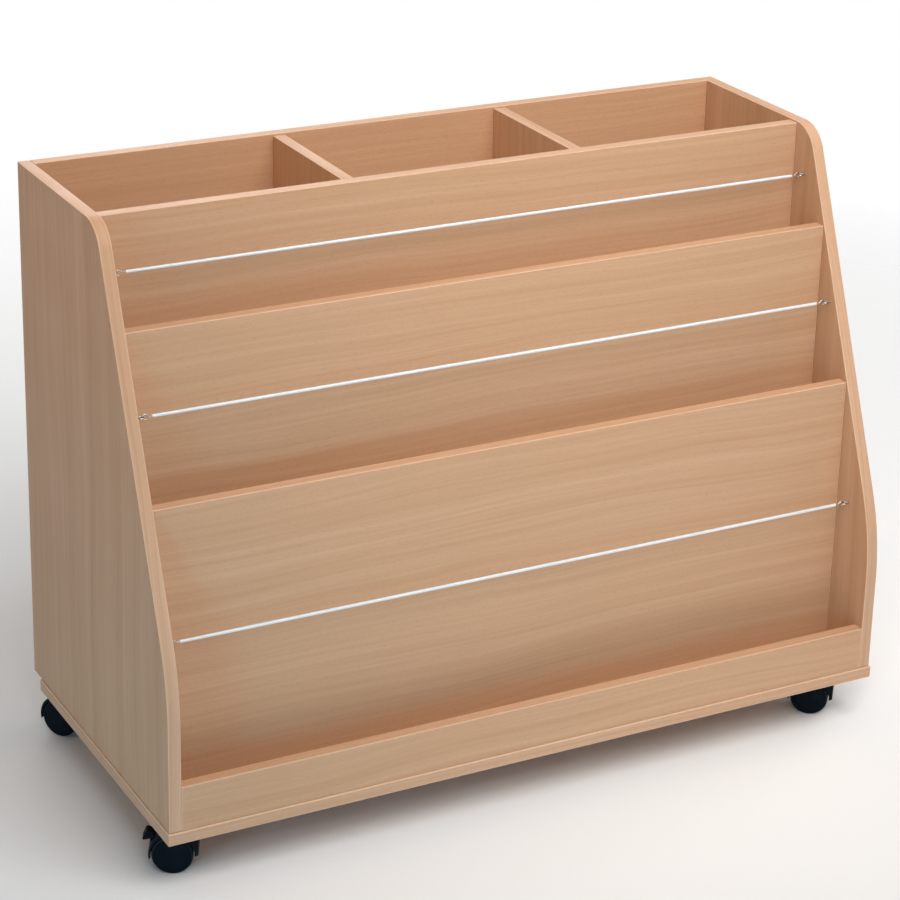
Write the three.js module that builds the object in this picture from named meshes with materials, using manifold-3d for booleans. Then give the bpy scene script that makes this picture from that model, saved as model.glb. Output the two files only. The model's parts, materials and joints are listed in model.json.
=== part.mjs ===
// Picture book browser bin: a beech-effect board carcass with three stepped display panels,
// three bins at the top, a sprung wire in front of each panel and four twin-wheel castors.
// Millimetres, +Z up, +Y towards the back. The origin is on the floor, in the middle of the footprint.
import * as THREE from 'three';
import { mergeVertices } from 'three/addons/utils/BufferGeometryUtils.js';
import { RoundedBoxGeometry } from 'three/addons/geometries/RoundedBoxGeometry.js';
import Module from 'manifold-3d';

// Carcass
const CARCASS_WIDTH = 1000; // over the two side panels
const CARCASS_DEPTH = 458; // front edge to back edge of a side panel
const SIDE_HEIGHT = 692; // of a side panel, standing on the base
const BOARD = 16; // thickness of every board
const BOARD_EDGE = 0.8; // radius of the board edges
const BASE_DEPTH = 434;
const BASE_OVERHANG = 2; // of the base past the sides and the front lip
const JOINT_GAP = 0.2; // glue line between boards
const KNEE_HEIGHT = 189; // where the upright front edge would meet the raked one
const KNEE_RADIUS = 300;
const RAKE_ANGLE = 21.4; // of the raked front edge from upright
const TOP_RADIUS = 45; // of the side panel's top front corner

// Display panels, pockets and bins
const LIP_HEIGHT = 58;
const LOWER_PANEL_FRONT = 76; // from the front edge to the lower panel's face
const PANEL_PITCH = 75; // face to face
const PANEL_SETBACK = 1.2; // of a panel's top edge behind the raked edge
const BIN_SETBACK = 2; // of the bin tops below the side panels' tops
const POCKET_DEPTH = 115; // from a pocket's floor to the top of the panel in front of it
const DIVIDER_SPACING = 318; // between the bin dividers' middles

// Sprung wires, their hooks and the screw eyes
const WIRE_STANDOFF = 25; // of a wire's axis from the panel behind it
const UPPER_WIRE_DROP = 63; // of a wire below the top of its panel
const MIDDLE_WIRE_DROP = 96;
const LOWER_WIRE_DROP = 160;
const SLEEVE_DIAMETER = 4;
const SLEEVE_BORE = 2.2;
const SLEEVE_END_GAP = 21; // from a side panel's face to the sleeve
const EYE_REACH = 7; // from a side panel's face to the middle of the eye
const EYE_RING = 3.6; // radius of the eye's ring
const EYE_WIRE = 0.9; // radius of its wire
const EYE_SCREW = 9; // depth of its shank in the panel
const HOOK_RING = 3.4;
const HOOK_WIRE = 0.8;
const HOOK_SCREW = 12; // depth of its shank in the sleeve
const HOOK_NECK = 1.2; // straight wire between the ring and the shank's bend
const HOOK_START_ANGLE = 42; // of the ring's first point, from the shank
const HOOK_END_ANGLE = 300; // of its open end
const LINK_GAP = 0.3; // between linked or fitted metal pieces

// Castors
const WHEEL_DIAMETER = 50;
const WHEEL_WIDTH = 16.5;
const WHEEL_GAP = 1.5; // between a wheel's tread and the hood
const WHEEL_SIDE_GAP = 0.5; // between a wheel and the hood's web
const WHEEL_DOME = 0.9; // rise of a wheel's outer face
const WHEEL_HUB = 7; // radius of the hub inside a wheel
const WHEEL_RIM = 4.5; // thickness of the rim under the tread
const WHEEL_DISC = 7; // thickness of the disc behind the outer face
const TREAD_ROUND = 2.5; // radius of the tread's shoulders
const HOOD_REACH = 31; // of the hood's square end, over the kingpin, from the axle
const FENDER_REACH = 28.7; // of its round end, behind the wheels
const FENDER_RADIUS = 30.2;
const FENDER_TAIL = 6; // of the round end's tip below the axle
const HOOD_CROWN = 5.2; // thickness of the hood over the wheels
const HOOD_SKIRT = 3; // of the hood's walls below the axle, at the wheels
const HOOD_CORNER = 9; // radius of the square end's top corner
const HOOD_EDGE = 0.8; // rounding of the hood's side edges
const HOOD_RECESS = 1.5; // of the hood's sides behind the wheels' faces
const WEB = 9; // thickness of the hood's web between the wheels
const AXLE_BOSS = 9; // radius of the boss round the axle
const AXLE_RADIUS = 3;
const AXLE_IN_WHEEL = 9; // length of the axle in each wheel
const TRAIL = 16; // of the axle behind the swivel axis
const PLATE = 40; // side of the square mounting plate
const PLATE_THICKNESS = 2.5;
const PLATE_CORNER = 5;
const PLATE_HOLE = 2.3; // radius of its four screw holes
const PLATE_HOLE_SPACING = 29;
const SWIVEL_GAP = 0.8; // between the plate and the hood
const KINGPIN_RADIUS = 4;
const KINGPIN_LENGTH = 9.5; // below its flange
const KINGPIN_FLANGE = 7; // radius
const KINGPIN_FLANGE_THICKNESS = 1.4;
const KINGPIN_RIVET = 3; // radius of its riveted head in the plate
const KINGPIN_CHAMFER = 1; // at its lower end
const CASTOR_SIDE_INSET = 42; // of the swivel axis from the base's side edge
const CASTOR_FRONT_INSET = 46.5;
const CASTOR_BACK_INSET = 24;

// Brake pedals on the front castors, placed from the axle
const PEDAL_PIVOT_BACK = 23;
const PEDAL_PIVOT_UP = 19.5;
const PEDAL_BARREL = 3.6;
const PEDAL_WIDTH = 14;
const PEDAL_TIP_BACK = 36.2;
const PEDAL_TIP_TOP = 25.7;
const PEDAL_TIP_BOTTOM = 13.4;
const PEDAL_TIP_LEAN = 4; // of the tip's top corner in from its lower one
const PEDAL_TIP_ROUND = 1.5;
const PEDAL_PIN = 1.4;
const PEDAL_PIN_SEAT = 6; // depth of the pin in each cheek of the hood
const PEDAL_CHEEK = 3.4; // radius of a cheek
const PEDAL_CHEEK_WALL = 1.2; // that closes a cheek past the pin
const PEDAL_SIDE_GAP = 0.5;
const PEDAL_SLOT_DROP = 4; // of the slot's floor below the pedal, for its travel

// Castors as they stand, by the direction of each one's trail from +X
const CASTOR_TURN = { front_left: 154, front_right: 141, back_left: 126, back_right: 118 };
const BRAKED = ['front_left', 'front_right'];

// Facets
const ROUND = 20; // sides of a wheel
const ARCH_SIDES = 36;
const PIN_SIDES = 12;
const RING_SIDES = 6;
const RING_STEPS = 14;
const HOOK_SIDES = 6;
const HOOK_STEPS = 24;
const HOOK_POINTS = 9;
const ARC_STEPS = 6;
const SMALL_ARC_STEPS = 4;
const BOARD_EDGE_STEPS = 1;
const HOOD_EDGE_STEPS = 1;
const FENDER_STEPS = 6;
const DOME_SHARE = 0.5; // of a wheel's radius, where its domed face has a ring
const WELD = 1e-4; // vertices closer than this are one
const PAST = 1; // how far a cutting tool runs past the face that it opens

const BEECH = new THREE.MeshStandardMaterial({ color: 0xd2ab83, roughness: 0.55, metalness: 0 });
const WHITE_SLEEVE = new THREE.MeshStandardMaterial({ color: 0xf1efea, roughness: 0.35, metalness: 0 });
const PLATED = new THREE.MeshStandardMaterial({ color: 0xc9cacb, roughness: 0.25, metalness: 1 });
const BLACK_NYLON = new THREE.MeshStandardMaterial({ color: 0x14161a, roughness: 0.45, metalness: 0 });

const wasm = await Module();
wasm.setup();

const radians = THREE.MathUtils.degToRad;
const rake = Math.tan(radians(RAKE_ANGLE));

// Places that several pieces share
const castorHeight = WHEEL_DIAMETER + WHEEL_GAP + HOOD_CROWN + SWIVEL_GAP + PLATE_THICKNESS;
const baseTop = castorHeight + BOARD;
const seat = baseTop + JOINT_GAP; // where the upright boards stand
const sideTop = seat + SIDE_HEIGHT;
const innerFace = CARCASS_WIDTH / 2 - BOARD;
const boardEnd = innerFace - JOINT_GAP;
const middlePanelFront = LOWER_PANEL_FRONT + PANEL_PITCH;
const upperPanelFront = middlePanelFront + PANEL_PITCH;
const backPanelFront = CARCASS_DEPTH - BOARD;
const panelTop = (front) => seat + KNEE_HEIGHT + (front - PANEL_SETBACK) / rake;
const lowerTop = panelTop(LOWER_PANEL_FRONT);
const middleTop = panelTop(middlePanelFront);
const binTop = sideTop - BIN_SETBACK;
const lowerFloor = lowerTop - POCKET_DEPTH;
const binFloor = middleTop - POCKET_DEPTH;

// A closed geometry as a solid for joining and cutting
function solid(geometry) {
  const plain = geometry.clone();
  plain.deleteAttribute('normal');
  plain.deleteAttribute('uv');
  const merged = mergeVertices(plain, WELD);
  return new wasm.Manifold(new wasm.Mesh({
    numProp: 3,
    vertProperties: new Float32Array(merged.attributes.position.array),
    triVerts: new Uint32Array(merged.index.array),
  }));
}

function geometryOf(shape) {
  const mesh = shape.getMesh();
  const geometry = new THREE.BufferGeometry();
  geometry.setAttribute('position', new THREE.BufferAttribute(mesh.vertProperties, 3));
  geometry.setIndex(new THREE.BufferAttribute(mesh.triVerts, 1));
  geometry.computeVertexNormals();
  return geometry;
}

function cut(body, ...tools) {
  return tools.reduce((left, tool) => left.subtract(solid(tool)), body);
}

function piece(name, geometry, material) {
  const mesh = new THREE.Mesh(geometry, material);
  mesh.name = name;
  return mesh;
}

// A round bar between two places on an axis
function bar(axis, radius, from, to, sides = PIN_SIDES) {
  const geometry = new THREE.CylinderGeometry(radius, radius, to - from, sides);
  geometry.translate(0, (from + to) / 2, 0);
  if (axis === 'x') geometry.rotateZ(-Math.PI / 2);
  if (axis === 'z') geometry.rotateX(Math.PI / 2);
  return geometry;
}

function block(low, high) {
  const size = high.map((value, i) => value - low[i]);
  const geometry = new THREE.BoxGeometry(...size);
  geometry.translate(...low.map((value, i) => value + size[i] / 2));
  return geometry;
}

function board(name, low, high) {
  const size = high.map((value, i) => value - low[i]);
  const mesh = piece(name, new RoundedBoxGeometry(...size, BOARD_EDGE_STEPS, BOARD_EDGE), BEECH);
  mesh.position.set(...low.map((value, i) => value + size[i] / 2));
  return mesh;
}

// Side panels

// The outline in depth and height: upright back, flat top, round corner, raked edge, soft knee
function sideOutline() {
  const slope = radians(RAKE_ANGLE);
  const topCorner = (SIDE_HEIGHT - KNEE_HEIGHT) * rake;
  const topTangent = TOP_RADIUS * Math.tan((Math.PI / 2 - slope) / 2);
  const kneeTangent = KNEE_RADIUS * Math.tan(slope / 2);
  const outline = new THREE.Shape();
  outline.moveTo(0, 0);
  outline.lineTo(CARCASS_DEPTH, 0);
  outline.lineTo(CARCASS_DEPTH, SIDE_HEIGHT);
  outline.lineTo(topCorner + topTangent, SIDE_HEIGHT);
  outline.absarc(topCorner + topTangent, SIDE_HEIGHT - TOP_RADIUS, TOP_RADIUS,
    Math.PI / 2, Math.PI - slope, false);
  outline.absarc(KNEE_RADIUS, KNEE_HEIGHT - kneeTangent, KNEE_RADIUS, Math.PI - slope, Math.PI, false);
  return outline;
}

const wires = [
  { name: 'upper', depth: upperPanelFront - WIRE_STANDOFF, height: binTop - UPPER_WIRE_DROP },
  { name: 'middle', depth: middlePanelFront - WIRE_STANDOFF, height: middleTop - MIDDLE_WIRE_DROP },
  { name: 'lower', depth: LOWER_PANEL_FRONT - WIRE_STANDOFF, height: lowerTop - LOWER_WIRE_DROP },
];

function sidePanel(name, side) {
  const panel = new THREE.ExtrudeGeometry(sideOutline(), {
    depth: BOARD - 2 * BOARD_EDGE,
    curveSegments: ARC_STEPS,
    bevelThickness: BOARD_EDGE,
    bevelSize: BOARD_EDGE,
    bevelOffset: -BOARD_EDGE,
    bevelSegments: BOARD_EDGE_STEPS,
  });
  panel.translate(0, 0, BOARD_EDGE);
  panel.applyMatrix4(new THREE.Matrix4().makeBasis(
    new THREE.Vector3(0, 1, 0), new THREE.Vector3(0, 0, 1), new THREE.Vector3(1, 0, 0)));
  panel.translate(side < 0 ? -CARCASS_WIDTH / 2 : innerFace, 0, seat);
  const ends = [side * (innerFace - PAST), side * (innerFace + EYE_SCREW + LINK_GAP)];
  const holes = wires.map((wire) =>
    bar('x', EYE_WIRE + LINK_GAP, Math.min(...ends), Math.max(...ends))
      .translate(0, wire.depth, wire.height));
  return piece(name, geometryOf(cut(solid(panel), ...holes)), BEECH);
}

// Boards

function carcass() {
  const group = new THREE.Group();
  const across = CARCASS_WIDTH / 2 + BASE_OVERHANG;
  const baseFront = -BASE_OVERHANG;
  const upright = (name, front, low, high) =>
    board(name, [-boardEnd, front, low], [boardEnd, front + BOARD, high]);
  const shelf = (name, front, back, top) =>
    board(name, [-boardEnd, front + JOINT_GAP, top - BOARD], [boardEnd, back - JOINT_GAP, top]);
  group.add(
    sidePanel('left_side_panel', -1),
    sidePanel('right_side_panel', 1),
    board('base_panel', [-across, baseFront, castorHeight], [across, baseFront + BASE_DEPTH, baseTop]),
    upright('front_lip', 0, seat, seat + LIP_HEIGHT),
    upright('lower_display_panel', LOWER_PANEL_FRONT, seat, lowerTop),
    upright('middle_display_panel', middlePanelFront, lowerFloor + JOINT_GAP, middleTop),
    upright('upper_display_panel', upperPanelFront, binFloor + JOINT_GAP, binTop),
    upright('back_panel', backPanelFront, seat, sideTop),
    shelf('lower_pocket_shelf', LOWER_PANEL_FRONT + BOARD, middlePanelFront + BOARD, lowerFloor),
    shelf('bin_shelf', middlePanelFront + BOARD, backPanelFront, binFloor),
  );
  for (const [name, side] of [['left_bin_divider', -1], ['right_bin_divider', 1]]) {
    const middle = side * DIVIDER_SPACING / 2;
    group.add(board(name,
      [middle - BOARD / 2, upperPanelFront + BOARD + JOINT_GAP, binFloor + JOINT_GAP],
      [middle + BOARD / 2, backPanelFront - JOINT_GAP, binTop]));
  }
  return group;
}

// Wires: a sleeved spring between two hooks, each linked into a screw eye
// In a wire end's own frame +X runs from the side panel's face along the wire.

function screwEye(name) {
  const ring = new THREE.TorusGeometry(EYE_RING, EYE_WIRE, RING_SIDES, RING_STEPS);
  ring.translate(EYE_REACH, 0, 0);
  const shank = bar('x', EYE_WIRE, -EYE_SCREW, EYE_REACH - EYE_RING);
  return piece(name, geometryOf(solid(ring).add(solid(shank))), PLATED);
}

const hookBow = EYE_REACH + EYE_RING - EYE_WIRE - HOOK_WIRE - LINK_GAP;
const hookCentre = hookBow + HOOK_RING;

function wireHook(name) {
  const points = [
    new THREE.Vector3(SLEEVE_END_GAP + HOOK_SCREW, 0, 0),
    new THREE.Vector3(SLEEVE_END_GAP, 0, 0),
    new THREE.Vector3(hookCentre + HOOK_RING + HOOK_NECK, 0, 0),
  ];
  for (let i = 0; i < HOOK_POINTS; i += 1) {
    const share = i / (HOOK_POINTS - 1);
    const angle = radians(HOOK_START_ANGLE + share * (HOOK_END_ANGLE - HOOK_START_ANGLE));
    points.push(new THREE.Vector3(
      hookCentre + HOOK_RING * Math.cos(angle), 0, HOOK_RING * Math.sin(angle)));
  }
  const section = new THREE.Shape();
  section.absarc(0, 0, HOOK_WIRE, 0, 2 * Math.PI, false);
  const geometry = new THREE.ExtrudeGeometry(section, {
    steps: HOOK_STEPS,
    curveSegments: HOOK_SIDES / 2,
    extrudePath: new THREE.CatmullRomCurve3(points),
  });
  return piece(name, geometry, PLATED);
}

function sprungWire(name) {
  const half = innerFace - SLEEVE_END_GAP;
  const profile = [
    new THREE.Vector2(SLEEVE_BORE / 2, -half),
    new THREE.Vector2(SLEEVE_DIAMETER / 2, -half),
    new THREE.Vector2(SLEEVE_DIAMETER / 2, half),
    new THREE.Vector2(SLEEVE_BORE / 2, half),
    new THREE.Vector2(SLEEVE_BORE / 2, -half),
  ];
  const geometry = new THREE.LatheGeometry(profile, PIN_SIDES);
  geometry.rotateZ(-Math.PI / 2);
  return piece(name, geometry, WHITE_SLEEVE);
}

function wireSet(wire) {
  const group = new THREE.Group();
  group.position.set(0, wire.depth, wire.height);
  group.add(sprungWire(`${wire.name}_sprung_wire`));
  for (const [side, turn] of [['left', 0], ['right', Math.PI]]) {
    const end = new THREE.Group();
    end.position.x = side === 'left' ? -innerFace : innerFace;
    end.rotation.z = turn;
    end.add(screwEye(`${wire.name}_${side}_screw_eye`), wireHook(`${wire.name}_${side}_hook`));
    group.add(end);
  }
  return group;
}

// Castors
// In a castor's own frame the swivel axis is Z, with 0 at the base's underside, and the axle
// lies along Y at TRAIL behind it in +X.

const axleDrop = castorHeight - WHEEL_DIAMETER / 2;
const hoodTop = WHEEL_DIAMETER / 2 + WHEEL_GAP + HOOD_CROWN; // above the axle
const archRadius = WHEEL_DIAMETER / 2 + WHEEL_GAP;
const wheelInner = WEB / 2 + WHEEL_SIDE_GAP;
const hoodHalf = wheelInner + WHEEL_WIDTH - HOOD_RECESS;
const flangeTop = -PLATE_THICKNESS - JOINT_GAP;
const flangeBottom = flangeTop - KINGPIN_FLANGE_THICKNESS;
const pinBottom = flangeBottom - KINGPIN_LENGTH;
const slotHalf = PEDAL_WIDTH / 2 + PEDAL_SIDE_GAP; // half the width of the pedal's slot

function mountingPlate(name) {
  const half = PLATE / 2;
  const straight = half - PLATE_CORNER;
  const outline = new THREE.Shape();
  outline.absarc(straight, straight, PLATE_CORNER, 0, Math.PI / 2);
  outline.absarc(-straight, straight, PLATE_CORNER, Math.PI / 2, Math.PI);
  outline.absarc(-straight, -straight, PLATE_CORNER, Math.PI, 1.5 * Math.PI);
  outline.absarc(straight, -straight, PLATE_CORNER, 1.5 * Math.PI, 2 * Math.PI);
  const holes = [[0, 0, KINGPIN_RIVET + LINK_GAP]];
  for (const x of [-1, 1]) {
    for (const y of [-1, 1]) {
      holes.push([x * PLATE_HOLE_SPACING / 2, y * PLATE_HOLE_SPACING / 2, PLATE_HOLE]);
    }
  }
  for (const [x, y, radius] of holes) {
    const hole = new THREE.Path();
    hole.absarc(x, y, radius, 0, 2 * Math.PI, true);
    outline.holes.push(hole);
  }
  const geometry = new THREE.ExtrudeGeometry(outline, {
    depth: PLATE_THICKNESS - JOINT_GAP,
    curveSegments: SMALL_ARC_STEPS,
    bevelEnabled: false,
  });
  geometry.translate(0, 0, -PLATE_THICKNESS);
  return piece(name, geometry, PLATED);
}

function kingpin(name) {
  const profile = [
    new THREE.Vector2(0, pinBottom),
    new THREE.Vector2(KINGPIN_RADIUS - KINGPIN_CHAMFER, pinBottom),
    new THREE.Vector2(KINGPIN_RADIUS, pinBottom + KINGPIN_CHAMFER),
    new THREE.Vector2(KINGPIN_RADIUS, flangeBottom),
    new THREE.Vector2(KINGPIN_FLANGE, flangeBottom),
    new THREE.Vector2(KINGPIN_FLANGE, flangeTop),
    new THREE.Vector2(KINGPIN_RIVET, flangeTop),
    new THREE.Vector2(KINGPIN_RIVET, -JOINT_GAP),
    new THREE.Vector2(0, -JOINT_GAP),
  ];
  const geometry = new THREE.LatheGeometry(profile, PIN_SIDES);
  geometry.rotateX(Math.PI / 2);
  return piece(name, geometry, PLATED);
}

// The hood's side view, from the axle: a square end over the kingpin and a round fender that ends in a tail
function hoodOutline() {
  const reach = HOOD_REACH - HOOD_EDGE;
  const top = hoodTop - HOOD_EDGE;
  const fender = FENDER_RADIUS - HOOD_EDGE;
  const fenderX = FENDER_REACH - FENDER_RADIUS;
  const fenderZ = hoodTop - FENDER_RADIUS;
  const tail = Math.asin((FENDER_TAIL + fenderZ) / fender);
  const outline = new THREE.Shape();
  outline.moveTo(-reach, 0);
  outline.lineTo(-archRadius, -HOOD_SKIRT);
  outline.lineTo(archRadius, -HOOD_SKIRT);
  outline.absarc(fenderX, fenderZ, fender, -tail, Math.PI / 2, false);
  outline.lineTo(HOOD_CORNER - reach, top);
  outline.absarc(HOOD_CORNER - reach, top - HOOD_CORNER, HOOD_CORNER, Math.PI / 2, Math.PI, false);
  return outline;
}

// A side view extruded across the castor's width, about the middle of its width
function acrossCastor(outline, width, options = {}) {
  const geometry = new THREE.ExtrudeGeometry(outline, { depth: width, bevelEnabled: false, ...options });
  geometry.translate(0, 0, -width / 2);
  geometry.rotateX(Math.PI / 2);
  return geometry;
}

function hood(name, braked) {
  const shell = acrossCastor(hoodOutline(), 2 * (hoodHalf - HOOD_EDGE), {
    bevelEnabled: true,
    bevelThickness: HOOD_EDGE,
    bevelSize: HOOD_EDGE,
    bevelSegments: HOOD_EDGE_STEPS,
    curveSegments: FENDER_STEPS,
  });
  const wide = hoodHalf + PAST;
  const tools = [
    bar('y', archRadius, WEB / 2, wide, ARCH_SIDES),
    bar('y', archRadius, -wide, -WEB / 2, ARCH_SIDES),
  ];
  const swivelTop = axleDrop; // the base's underside, from the axle
  const swivelTools = [
    bar('z', KINGPIN_FLANGE + LINK_GAP, swivelTop + flangeBottom - LINK_GAP, swivelTop),
    bar('z', KINGPIN_RADIUS + LINK_GAP, swivelTop + pinBottom - LINK_GAP, swivelTop),
  ];
  swivelTools.forEach((tool) => tool.translate(-TRAIL, 0, 0));
  const boss = bar('y', AXLE_BOSS, -WEB / 2, WEB / 2, ROUND);
  const bore = bar('y', AXLE_RADIUS + LINK_GAP, -WEB, WEB);
  let body = cut(solid(shell), ...tools, ...swivelTools);
  body = cut(body.add(solid(boss)), bore);
  if (braked) {
    const barrelRoom = PEDAL_BARREL + PEDAL_SIDE_GAP;
    const slot = block(
      [PEDAL_PIVOT_BACK - barrelRoom, -slotHalf, PEDAL_TIP_BOTTOM - PEDAL_SLOT_DROP],
      [HOOD_REACH + PAST, slotHalf, PEDAL_TIP_TOP + PEDAL_SIDE_GAP]);
    const pinReach = slotHalf + PEDAL_PIN_SEAT + LINK_GAP;
    const cheekReach = pinReach + PEDAL_CHEEK_WALL;
    const cheeks = bar('y', PEDAL_CHEEK, -cheekReach, cheekReach, PIN_SIDES);
    const pinHole = bar('y', PEDAL_PIN + LINK_GAP, -pinReach, pinReach);
    for (const tool of [cheeks, pinHole]) tool.translate(PEDAL_PIVOT_BACK, 0, PEDAL_PIVOT_UP);
    body = cut(body.add(solid(cheeks)), slot, pinHole);
  }
  return piece(name, geometryOf(body), BLACK_NYLON);
}

function axle(name) {
  const reach = wheelInner + AXLE_IN_WHEEL;
  return piece(name, bar('y', AXLE_RADIUS, -reach, reach), PLATED);
}

// A wheel in half section: domed outer face, round shoulders, hollow back and a blind bore
function wheel(name, side) {
  const radius = WHEEL_DIAMETER / 2;
  const face = WHEEL_WIDTH - WHEEL_DOME;
  const hollow = WHEEL_WIDTH - WHEEL_DISC;
  const shoulder = TREAD_ROUND * (1 - Math.SQRT1_2);
  const bore = AXLE_RADIUS + LINK_GAP;
  const profile = [
    new THREE.Vector2(0, AXLE_IN_WHEEL + LINK_GAP),
    new THREE.Vector2(bore, AXLE_IN_WHEEL + LINK_GAP),
    new THREE.Vector2(bore, 0),
    new THREE.Vector2(WHEEL_HUB, 0),
    new THREE.Vector2(WHEEL_HUB, hollow),
    new THREE.Vector2(radius - WHEEL_RIM, hollow),
    new THREE.Vector2(radius - WHEEL_RIM, 0),
    new THREE.Vector2(radius - TREAD_ROUND, 0),
    new THREE.Vector2(radius - shoulder, shoulder),
    new THREE.Vector2(radius, TREAD_ROUND),
    new THREE.Vector2(radius, face - TREAD_ROUND),
    new THREE.Vector2(radius - shoulder, face - shoulder),
    new THREE.Vector2(radius - TREAD_ROUND, face),
    new THREE.Vector2(radius * DOME_SHARE, WHEEL_WIDTH - WHEEL_DOME * DOME_SHARE ** 2),
    new THREE.Vector2(0, WHEEL_WIDTH),
  ];
  const mesh = piece(name, new THREE.LatheGeometry(profile, ROUND), BLACK_NYLON);
  mesh.position.y = side * wheelInner;
  mesh.rotation.z = side < 0 ? Math.PI : 0;
  return mesh;
}

function brakePedal(name) {
  const round = PEDAL_TIP_ROUND;
  const lower = PEDAL_TIP_BACK - round;
  const upper = lower - PEDAL_TIP_LEAN;
  const lean = Math.atan(PEDAL_TIP_LEAN / (PEDAL_TIP_TOP - PEDAL_TIP_BOTTOM));
  const outline = new THREE.Shape();
  outline.moveTo(PEDAL_PIVOT_BACK, PEDAL_PIVOT_UP - PEDAL_BARREL);
  outline.absarc(lower, PEDAL_TIP_BOTTOM + round, round, -Math.PI / 2, lean, false);
  outline.absarc(upper, PEDAL_TIP_TOP - round, round, lean, Math.PI / 2, false);
  outline.lineTo(PEDAL_PIVOT_BACK, PEDAL_PIVOT_UP + PEDAL_BARREL);
  outline.absarc(PEDAL_PIVOT_BACK, PEDAL_PIVOT_UP, PEDAL_BARREL, Math.PI / 2, 1.5 * Math.PI, false);
  const bore = new THREE.Path();
  bore.absarc(PEDAL_PIVOT_BACK, PEDAL_PIVOT_UP, PEDAL_PIN + LINK_GAP, 0, 2 * Math.PI, true);
  outline.holes.push(bore);
  return piece(name, acrossCastor(outline, PEDAL_WIDTH, { curveSegments: SMALL_ARC_STEPS }), BLACK_NYLON);
}

function pedalPin(name) {
  const reach = slotHalf + PEDAL_PIN_SEAT;
  const mesh = piece(name, bar('y', PEDAL_PIN, -reach, reach), PLATED);
  mesh.position.set(PEDAL_PIVOT_BACK, 0, PEDAL_PIVOT_UP);
  return mesh;
}

function castor(corner) {
  const [end, side] = corner.split('_');
  const across = CARCASS_WIDTH / 2 + BASE_OVERHANG - CASTOR_SIDE_INSET;
  const depth = end === 'front'
    ? CASTOR_FRONT_INSET - BASE_OVERHANG
    : BASE_DEPTH - BASE_OVERHANG - CASTOR_BACK_INSET;
  const group = new THREE.Group();
  group.position.set(side === 'left' ? -across : across, depth, castorHeight);
  group.add(mountingPlate(`${corner}_castor_plate`), kingpin(`${corner}_kingpin`));
  const turning = new THREE.Group();
  turning.rotation.z = radians(CASTOR_TURN[corner]);
  const aboutAxle = new THREE.Group();
  aboutAxle.position.set(TRAIL, 0, -axleDrop);
  const braked = BRAKED.includes(corner);
  aboutAxle.add(
    hood(`${corner}_castor_hood`, braked),
    axle(`${corner}_axle`),
    wheel(`${corner}_outer_wheel`, 1),
    wheel(`${corner}_inner_wheel`, -1),
  );
  if (braked) aboutAxle.add(brakePedal(`${corner}_brake_pedal`), pedalPin(`${corner}_pedal_pin`));
  turning.add(aboutAxle);
  group.add(turning);
  return group;
}

// The whole, with its origin on the floor in the middle of the footprint
const browserBin = new THREE.Group();
browserBin.add(carcass(), ...wires.map(wireSet), ...Object.keys(CASTOR_TURN).map(castor));
browserBin.updateMatrixWorld(true);
const extent = new THREE.Box3().setFromObject(browserBin, true);
const middle = extent.getCenter(new THREE.Vector3());
browserBin.position.set(-middle.x, -middle.y, -extent.min.z);

export default browserBin;
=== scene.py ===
"""Dresses the frame of a picture book browser bin: beech laminate boards, sleeved wires and castors.

Everything is in metres in the frame's own axes: +X to the right, +Y to the back, +Z up from the floor.
"""

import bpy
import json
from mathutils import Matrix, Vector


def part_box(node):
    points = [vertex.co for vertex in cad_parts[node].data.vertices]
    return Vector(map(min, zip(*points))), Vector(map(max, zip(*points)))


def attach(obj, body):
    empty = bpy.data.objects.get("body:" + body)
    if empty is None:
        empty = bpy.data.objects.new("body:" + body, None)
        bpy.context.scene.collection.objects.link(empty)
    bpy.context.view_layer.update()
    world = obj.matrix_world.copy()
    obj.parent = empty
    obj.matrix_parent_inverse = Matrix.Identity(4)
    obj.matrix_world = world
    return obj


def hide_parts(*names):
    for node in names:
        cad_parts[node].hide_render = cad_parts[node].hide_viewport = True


bl_info = {
    "name": "Picture Book Browser Bin",
    "version": (1, 0, 0),
    "blender": (4, 5, 0),
    "location": "View3D > Sidebar > Browser Bin",
    "description": "Dresses a browser bin's frame in beech laminate, sleeved wires and twin-wheel castors",
    "category": "Object",
}

import json
import math

import bmesh
import bpy
from bpy.props import FloatProperty, FloatVectorProperty, PointerProperty
from mathutils import Matrix, Vector

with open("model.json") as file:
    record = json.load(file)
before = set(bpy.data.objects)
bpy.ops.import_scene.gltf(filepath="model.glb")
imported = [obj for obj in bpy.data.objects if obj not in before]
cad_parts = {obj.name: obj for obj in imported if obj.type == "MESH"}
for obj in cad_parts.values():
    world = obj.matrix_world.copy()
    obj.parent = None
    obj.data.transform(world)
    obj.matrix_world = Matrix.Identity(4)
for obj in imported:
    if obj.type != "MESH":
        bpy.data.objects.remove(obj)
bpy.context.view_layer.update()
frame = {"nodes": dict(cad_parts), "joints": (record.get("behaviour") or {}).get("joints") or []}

MM = 0.001
JOINTS = {joint["name"]: joint for joint in frame["joints"]}
CORNERS = ("front_left", "front_right", "back_left", "back_right")
BRAKED = ("front_left", "front_right")
WIRES = ("upper", "middle", "lower")
ENDS = ("left", "right")
BOARDS = (
    "base_panel",
    "front_lip",
    "lower_display_panel",
    "middle_display_panel",
    "upper_display_panel",
    "back_panel",
    "lower_pocket_shelf",
    "bin_shelf",
    "left_bin_divider",
    "right_bin_divider",
)
X_AXIS, Y_AXIS, Z_AXIS = Vector((1, 0, 0)), Vector((0, 1, 0)), Vector((0, 0, 1))


# Settings

def length(name, description, default):
    """A size in metres, given in millimetres."""
    return FloatProperty(
        name=name, description=description, default=default * MM, unit="LENGTH", precision=5)


def share(name, description, default):
    """A number from 0 to 1."""
    return FloatProperty(
        name=name, description=description, default=default, min=0, max=1, subtype="FACTOR")


def colour(name, description, default):
    """A colour in linear light."""
    return FloatVectorProperty(
        name=name, description=description, default=default, size=3, min=0, max=1, subtype="COLOR")


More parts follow.
